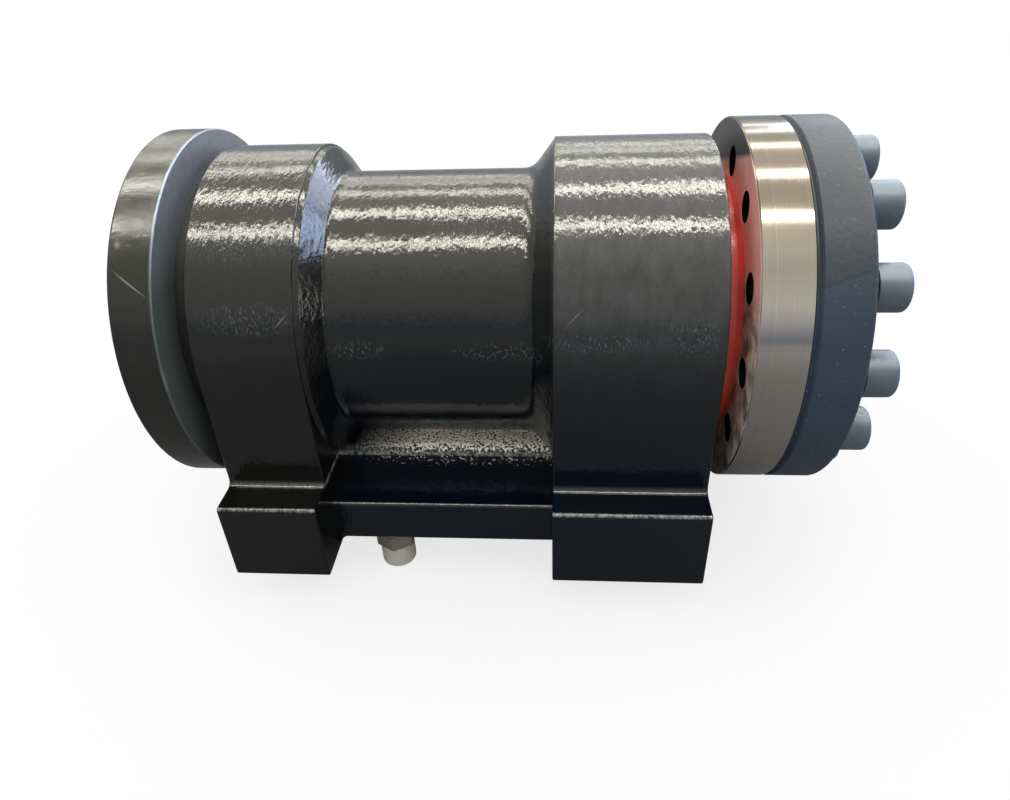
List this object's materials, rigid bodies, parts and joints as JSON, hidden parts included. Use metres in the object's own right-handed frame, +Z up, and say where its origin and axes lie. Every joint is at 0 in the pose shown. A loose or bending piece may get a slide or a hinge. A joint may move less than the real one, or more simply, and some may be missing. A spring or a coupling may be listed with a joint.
{
  "type": "rotary actuator",
  "caption": "Foot-mounted hydraulic rotary actuator with a helical spline piston in a black cast housing, a polished output flange and a bolted adapter disc.",
  "frame": {"origin": "centre of the four tapped foot holes, on the base plane of the feet", "axes": "+X along the shaft towards the output flange, +Z up from the feet to the shaft, +Y to the far side of the picture"},
  "size_m": [0.486, 0.29, 0.3013],
  "materials": {
    "housing_enamel": "gloss black enamel over cast steel",
    "gear_steel": "machined steel, oiled",
    "pin_steel": "ground steel",
    "plug_steel": "black oxide steel",
    "shaft_steel": "turned and polished steel",
    "piston_iron": "machined ductile iron",
    "guide_resin": "fabric filled resin",
    "seal_rubber": "moulded rubber",
    "thrust_bronze": "machined bronze",
    "red_polyurethane": "red polyurethane",
    "cap_paint": "black enamel over turned steel",
    "adapter_paint": "dark grey paint over turned steel",
    "screw_finish": "black oxide under a thin grey paint",
    "plated_steel": "zinc plated steel",
    "washer_steel": "bonded steel and rubber",
    "cap_plastic": "grey beige moulded plastic"
  },
  "bodies": {
    "housing_body": {"housing": "housing_enamel", "ring_gear": "gear_steel", "ring_gear_pins": "pin_steel", "gallery_plugs": "plug_steel", "front_guide": "guide_resin", "front_shaft_seal": "seal_rubber", "port_fittings": "plated_steel", "port_sealing_washers": "washer_steel", "port_caps": "cap_plastic"},
    "output_body": {"output_shaft": "shaft_steel", "end_cap": "cap_paint", "end_cap_lock_screws": "plug_steel", "end_cap_o_ring": "seal_rubber", "rear_guide": "guide_resin", "rear_shaft_seal": "seal_rubber", "front_thrust_washer": "thrust_bronze", "rear_thrust_washer": "thrust_bronze", "front_dust_ring": "red_polyurethane", "rear_dust_ring": "seal_rubber", "adapter_disc": "adapter_paint", "adapter_screws": "screw_finish", "lock_washers": "screw_finish"},
    "piston_seal_body": {"piston_guide_rings": "guide_resin", "piston_outer_seal": "seal_rubber", "piston_inner_seal": "seal_rubber"},
    "piston_body": {"piston_sleeve": "piston_iron"}
  },
  "joints": [
    {"name": "output_turn", "type": "hinge", "parent": "housing_body", "child": "output_body", "pos_m": [0, 0, 0.15], "axis": [1, 0, 0], "range_deg": [-90, 90]},
    {"name": "piston_stroke", "type": "slide", "parent": "housing_body", "child": "piston_seal_body", "axis": [1, 0, 0], "range_m": [-0.04, 0.04]},
    {"name": "piston_turn", "type": "hinge", "parent": "piston_seal_body", "child": "piston_body", "pos_m": [0, 0, 0.15], "axis": [1, 0, 0], "range_deg": [-45, 45]}
  ],
  "couplings": [
    {"joint": "piston_stroke", "follows": "output_turn", "m_per_rad": 0.025465},
    {"joint": "piston_turn", "follows": "output_turn", "ratio": 0.5}
  ]
}
